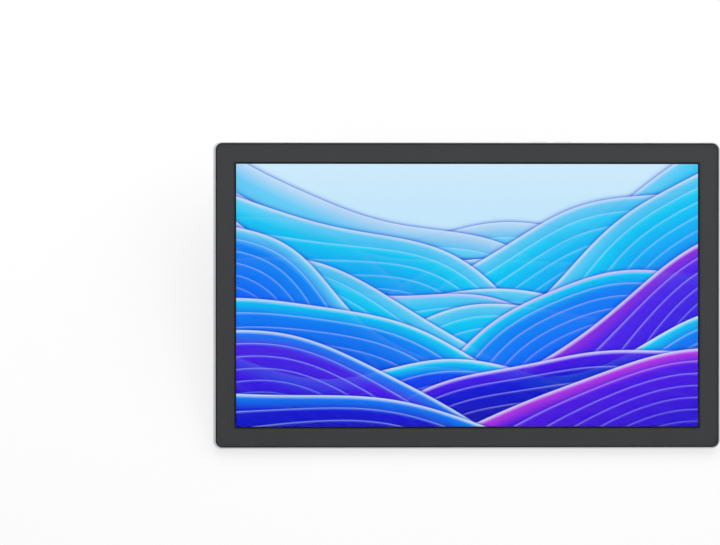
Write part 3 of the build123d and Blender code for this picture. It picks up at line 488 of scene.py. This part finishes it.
# Each finish is its name, the two colours that it drifts between, roughness and its
# spread, grains per metre, metallic share, relief and its depth, and the nodes. The last
# one is for a finer piece alone.
FINISHES = (
    ("foam_tape", (0.02, 0.02, 0.02), (0.03, 0.03, 0.03), 0.9, 0.05, 1800, 0.0, 0.4, 0.00005,
     "glass_tape"),
    ("white_film", (0.8, 0.81, 0.82), (0.86, 0.86, 0.87), 0.5, 0.1, 1200, 0.0, 0.1, 0.00005,
     "optical_films reflector"),
    ("guide_acrylic", (0.72, 0.78, 0.78), (0.78, 0.82, 0.83), 0.12, 0.04, 600, 0.0, 0.1, 0.00005,
     "light_guide"),
    ("lamp_strip", (0.8, 0.78, 0.6), (0.86, 0.84, 0.66), 0.5, 0.08, 500, 0.0, 0.1, 0.00005,
     "led_bar"),
    ("plain_sheet", (0.52, 0.53, 0.54), (0.6, 0.6, 0.61), 0.34, 0.08, 1500, 1.0, 0.1, 0.00005,
     "backlight_tray shield_foil shield_can"),
    ("cover_finish", (0.088, 0.09, 0.096), (0.093, 0.095, 0.101), 0.44, 0.07, 3000, 0.75, 0.16,
     0.00005, "back_cover"),
    ("blackened_steel", (0.07, 0.07, 0.072), (0.1, 0.1, 0.1), 0.35, 0.08, 2500, 1.0, 0.1, 0.00005,
     "cover_screws tray_screws board_screws hinge_pin_left hinge_pin_right"),
    ("foot_rubber", (0.018, 0.018, 0.019), (0.027, 0.027, 0.028), 0.82, 0.08, 2200, 0.0, 0.45,
     0.0001, "front_feet rear_pads leg_tip_left leg_tip_right"),
    ("moulded_black", (0.026, 0.026, 0.028), (0.034, 0.034, 0.036), 0.58, 0.08, 2600, 0.0, 0.35,
     0.00008, "leg_tray_left leg_tray_right"),
    ("leg_finish", (0.105, 0.107, 0.114), (0.111, 0.113, 0.12), 0.42, 0.07, 3000, 0.8, 0.16,
     0.00005, "leg_left leg_right"),
    ("washer_brass", (0.55, 0.4, 0.18), (0.62, 0.46, 0.22), 0.3, 0.06, 1500, 1.0, 0.1, 0.00005,
     "hinge_washers"),
    ("chip_resin", (0.025, 0.025, 0.027), (0.035, 0.035, 0.036), 0.55, 0.08, 1800, 0.0, 0.3,
     0.00005, "main_board_chips button_switches"),
    ("soft_pad", (0.35, 0.4, 0.46), (0.42, 0.46, 0.52), 0.85, 0.06, 900, 0.0, 0.4, 0.00005,
     "thermal_pad"),
    ("button_satin", (0.5, 0.515, 0.53), (0.56, 0.57, 0.585), 0.3, 0.05, 2800, 0.95, 0.1, 0.00005,
     "touch_button power_button"),
    ("amber_flex", (0.42, 0.2, 0.04), (0.5, 0.25, 0.06), 0.35, 0.06, 700, 0.0, 0.1, 0.00005,
     "lcd_flexes backlight_flex sensor_tail touch_tail board_ribbon"),
    ("contact_gold", (0.8, 0.55, 0.2), (0.86, 0.62, 0.26), 0.25, 0.05, 3000, 1.0, 0.1, 0.00005,
     ""),
)


def dress(finish, nodes):
    """Gives CAD nodes a finished material."""
    for name in nodes.split():
        mesh = NODES[name].data
        mesh.materials.clear()
        mesh.materials.append(finish)


def dress_all():
    for *look, nodes in FILMS:
        dress(film(*look), nodes)
    for *look, nodes in FINISHES:
        dress(grained(*look), nodes)
    dress(lit_picture(), "lcd_cell")
    dress(border_ink(), "border_mask")
    dress(rim_metal(), "middle_frame")
    dress(green_board(), "pen_sensor_board main_board display_driver_board button_board")
    dress(lamp_glow(), "status_lamp")
    for node in ("port_left", "port_right"):
        dress(port_metal(node), node)


dress_all()


# Pieces that are finer than the frame's own solids
def new_piece(name, mesh, finish, body="tablet"):
    """A shown piece that moves with one body."""
    mesh.materials.append(bpy.data.materials[finish])
    piece = bpy.data.objects.new(name, mesh)
    bpy.context.scene.collection.objects.link(piece)
    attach(piece, body)
    return piece


SHARP_ANGLE = math.radians(35)


def made_mesh(name, shape, rounded=False):
    """A shape's mesh. A rounded one is smooth, but for its caps and its sharp edges."""
    if rounded:
        for face in shape.faces:
            face.smooth = len(face.verts) == 4
    mesh = bpy.data.meshes.new(name)
    shape.to_mesh(mesh)
    shape.free()
    if rounded:
        mesh.set_sharp_from_angle(angle=SHARP_ANGLE)
    return mesh


def loft(shape, rings):
    """A closed skin over rings of points, each further out of the screen or further in."""
    for lower, upper in zip(rings, rings[1:]):
        for number in range(len(lower)):
            after = (number + 1) % len(lower)
            shape.faces.new((lower[number], lower[after], upper[after], upper[number]))
    shape.faces.new(rings[-1])
    shape.faces.new(rings[0][::-1])


# Each ring of the glass is its inset and its height. The first lies a hair above the
# border's ink, because faces in one plane break the light on it.
PLATE_CORNER_POINTS = 16
PLATE_RINGS = (
    (0.0, 0.00942),
    (0.0, 0.01022),
    (0.00002, 0.01033),
    (0.00008, 0.01042),
    (0.00017, 0.01048),
    (0.00028, 0.0105),
)


def glass_plate():
    """The cover glass with its front edge rounded."""
    shape = bmesh.new()
    rings = []
    for inset, height in PLATE_RINGS:
        ring = []
        reach = GLASS_CORNER - inset
        for number in range(4 * PLATE_CORNER_POINTS):
            corner, step = divmod(number, PLATE_CORNER_POINTS)
            angle = math.tau / 4 * (corner + step / (PLATE_CORNER_POINTS - 1))
            side = 1 if corner in (0, 3) else -1
            level = 1 if corner in (0, 1) else -1
            x = side * (GLASS_WIDTH / 2 - GLASS_CORNER) + reach * math.cos(angle)
            y = level * (GLASS_HEIGHT / 2 - GLASS_CORNER) + reach * math.sin(angle)
            ring.append(shape.verts.new(deck(x, y, height)))
        rings.append(ring)
    loft(shape, rings)
    return made_mesh("glass_plate", shape, rounded=True)


# Each ring of a screw, from its end to its drive, is a radius, the share of the drive's
# lobes in it, and a height
SCREW_REACH = 0.005
SCREW_POINTS = 48
SCREW_LOBES = 6
SCREW_RINGS = (
    (0.00080, 0.0, 0.0027),
    (0.00080, 0.0, 0.0005),
    (0.00180, 0.0, 0.0005),
    (0.00180, 0.0, 0.00016),
    (0.00173, 0.0, 0.00005),
    (0.00160, 0.0, 0.00002),
    (0.00074, 0.17, 0.00002),
    (0.00068, 0.18, 0.00002),
    (0.00058, 0.18, 0.00034),
)


def screw_heads():
    """Low screw heads with a six-lobed drive, flush with the back cover."""
    shape = bmesh.new()
    for x, y in clusters("cover_screws", SCREW_REACH):
        rings = []
        for radius, lobe, height in SCREW_RINGS:
            ring = []
            for number in range(SCREW_POINTS):
                angle = math.tau * number / SCREW_POINTS
                reach = radius * (1 + lobe * math.cos(SCREW_LOBES * angle))
                place = deck(x + reach * math.cos(angle), y + reach * math.sin(angle), height)
                ring.append(shape.verts.new(place))
            rings.append(ring)
        loft(shape, rings)
    bmesh.ops.recalc_face_normals(shape, faces=shape.faces)
    return made_mesh("cover_screw_heads", shape, rounded=True)


BLOCK_SEGMENTS = 2


def add_block(shape, middle, sizes, cut, axes):
    """A flat block laid along three directions, with its edges taken off."""
    made = bmesh.ops.create_cube(shape, size=1)["verts"]
    for vertex in made:
        steps = zip(axes, vertex.co.copy(), sizes)
        vertex.co = middle + sum((axis * (step * size) for axis, step, size in steps), Vector())
    edges = list({edge for vertex in made for edge in vertex.link_edges})
    bmesh.ops.bevel(shape, geom=edges, offset=cut, segments=BLOCK_SEGMENTS, affect="EDGES")


CONTACTS = 12
CONTACT_PITCH = 0.0005
CONTACT_SIZES = (0.00026, 0.0034, 0.00004)
CONTACT_CUT = 0.00001
CONTACT_SINK = 0.0022
CONTACT_RISE = 0.00001


def port_contacts():
    """Gold pads on both faces of each port's tongue."""
    shape = bmesh.new()
    for x, _ in clusters("port_left", PORT_SPAN) + clusters("port_right", PORT_SPAN):
        for number in range(CONTACTS):
            place = x + (number - (CONTACTS - 1) / 2) * CONTACT_PITCH
            for face in (-1, 1):
                height = PORT_AXIS + face * (TONGUE_THICK / 2 + CONTACT_RISE)
                middle = deck(place, TONGUE_END - CONTACT_SINK, height)
                add_block(shape, middle, CONTACT_SIZES, CONTACT_CUT, (RIGHT, UP, OUT))
    return made_mesh("port_contacts", shape)


RIB_COUNT = 5
RIB_PITCH = 0.0019
RIB_FIRST = 0.0027
RIB_SIZES = (0.0444, 0.0008, 0.0003)
RIB_CUT = 0.0001
SAME_PLANE = 0.00001
FACES_REAR = 0.5


def tip_ribs(tip):
    """Grip ribs across the outer face of a leg's rubber tip."""
    rubber = NODES[tip].data
    outer_faces = [face for face in rubber.polygons if face.normal.y > FACES_REAR]
    flat = max(outer_faces, key=lambda face: face.area)
    outward = flat.normal.copy()
    down = outward.cross(RIGHT)
    down = down if down.z < 0 else -down
    points = [vertex.co for vertex in rubber.vertices]
    on_face = [p for p in points if abs((p - flat.center).dot(outward)) < SAME_PLANE]
    foot = max(point.dot(down) for point in on_face)
    middle = (min(point.x for point in points) + max(point.x for point in points)) / 2
    level = outward * flat.center.dot(outward) + RIGHT * middle
    shape = bmesh.new()
    for number in range(RIB_COUNT):
        place = level + down * (foot - RIB_FIRST - RIB_PITCH * number)
        add_block(shape, place, RIB_SIZES, RIB_CUT, (RIGHT, down, outward))
    return made_mesh(tip + "_ribs", shape)


def add_details():
    glass = new_piece("cover_glass_plate", glass_plate(), "etched_glass")
    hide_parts("cover_glass")
    screws = new_piece("cover_screw_heads", screw_heads(), "blackened_steel")
    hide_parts("cover_screws")
    for side in ("left", "right"):
        tip = "leg_tip_" + side
        new_piece(tip + "_ribs", tip_ribs(tip), "foot_rubber", side + "_leg")
    new_piece("port_contact_pads", port_contacts(), "contact_gold")


add_details()


# Studio: a pale floor, a plain pale world and soft lamps. Each lamp is its name, place,
# size and watts.
FLOOR_REACH = 30
FLOOR_LEVEL = -0.0002
FLOOR_TONES = ((0.9, 0.9, 0.9, 1), (0.93, 0.93, 0.93, 1))
FLOOR_GRAIN = 3
FLOOR_SHOWN = 0.74
WORLD_LIGHT = 0.36
WORLD_SHOWN = 1.0
LAMPS = (
    ("key_lamp", (-1.0, 0.5, 1.5), 2.1, 14),
    ("fill_lamp", (1.2, 0.5, 1.5), 2.0, 12.5),
    ("back_lamp", (0.1, 0.8, 1.0), 1.8, 11),
)


def seen(s):
    """1 for a ray that shows the background, in the picture, in metal or in glass."""
    rays = s.add("ShaderNodeLightPath").node.outputs
    seen_so_far = s.math("MAXIMUM", rays["Is Camera Ray"], rays["Is Glossy Ray"])
    return s.math("MAXIMUM", seen_so_far, rays["Is Transmission Ray"])


def floor_finish():
    """Pale and matt, partly plain white to the camera, and clear from below."""
    s = material("pale_floor")
    tone = s.mix(s.range(s.noise(FLOOR_GRAIN), 0, 1), *FLOOR_TONES)
    matte = s.add("ShaderNodeBsdfDiffuse", {"Color": tone})
    plain = s.add("ShaderNodeEmission", {"Color": PLAIN_WHITE, "Strength": 1.0})
    share = s.math("MULTIPLY", seen(s), FLOOR_SHOWN)
    top = s.add("ShaderNodeMixShader", {0: share, 1: matte, 2: plain})
    under = s.add("ShaderNodeNewGeometry", out="Backfacing")
    clear = s.add("ShaderNodeBsdfTransparent")
    return s.done(s.add("ShaderNodeMixShader", {0: under, 1: top, 2: clear}))


def add_object(name, data):
    made = bpy.data.objects.new(name, data)
    bpy.context.scene.collection.objects.link(made)
    return made


def studio():
    mesh = bpy.data.meshes.new("floor")
    corners = [
        (x * FLOOR_REACH, y * FLOOR_REACH, FLOOR_LEVEL)
        for x, y in ((-1, -1), (1, -1), (1, 1), (-1, 1))
    ]
    mesh.from_pydata(corners, [], [(0, 1, 2, 3)])
    mesh.materials.append(floor_finish())
    add_object("floor", mesh)

    s = Shader(bpy.data.worlds.new("studio"), "ShaderNodeOutputWorld")
    strength = s.add("ShaderNodeMapRange", {
        "Value": seen(s), "To Min": WORLD_LIGHT, "To Max": WORLD_SHOWN
    })
    background = {"Color": PLAIN_WHITE, "Strength": strength}
    bpy.context.scene.world = s.done(s.add("ShaderNodeBackground", background))

    for name, place, size, watts in LAMPS:
        lamp = bpy.data.lights.new(name, "AREA")
        lamp.size = size
        lamp.energy = watts
        holder = add_object(name, lamp)
        holder.location = place
        holder.rotation_mode = "QUATERNION"
        holder.rotation_quaternion = (GLASS_CENTRE - Vector(place)).to_track_quat("-Z", "Y")


studio()

# Camera: a long lens square to the screen but for a small turn to the tablet's left
CAMERA_DISTANCE = 20.0
CAMERA_TURN = math.radians(8.0)
CAMERA_REACH = (0.1, 100)
SENSOR_WIDTH = 36
PICTURE_WIDTH = 720
PIXELS_PER_METRE = 1140.8
PIXELS_RIGHT = 107.5
PIXELS_DOWN = 22.75


def add_camera():
    lens = bpy.data.cameras.new("camera")
    lens.sensor_width = SENSOR_WIDTH
    lens.lens = PIXELS_PER_METRE * CAMERA_DISTANCE * SENSOR_WIDTH / PICTURE_WIDTH
    lens.clip_start, lens.clip_end = CAMERA_REACH
    camera = add_object("camera", lens)
    towards = OUT * math.cos(CAMERA_TURN) - RIGHT * math.sin(CAMERA_TURN)
    picture_right = (-towards).cross(UP)
    aim = GLASS_CENTRE + (UP * PIXELS_DOWN - picture_right * PIXELS_RIGHT) / PIXELS_PER_METRE
    camera.location = aim + towards * CAMERA_DISTANCE
    camera.rotation_mode = "QUATERNION"
    axes = Matrix((picture_right, UP, towards)).transposed()
    camera.rotation_quaternion = axes.to_quaternion()
    bpy.context.scene.camera = camera


add_camera()
bpy.context.scene.view_settings.view_transform = "Standard"
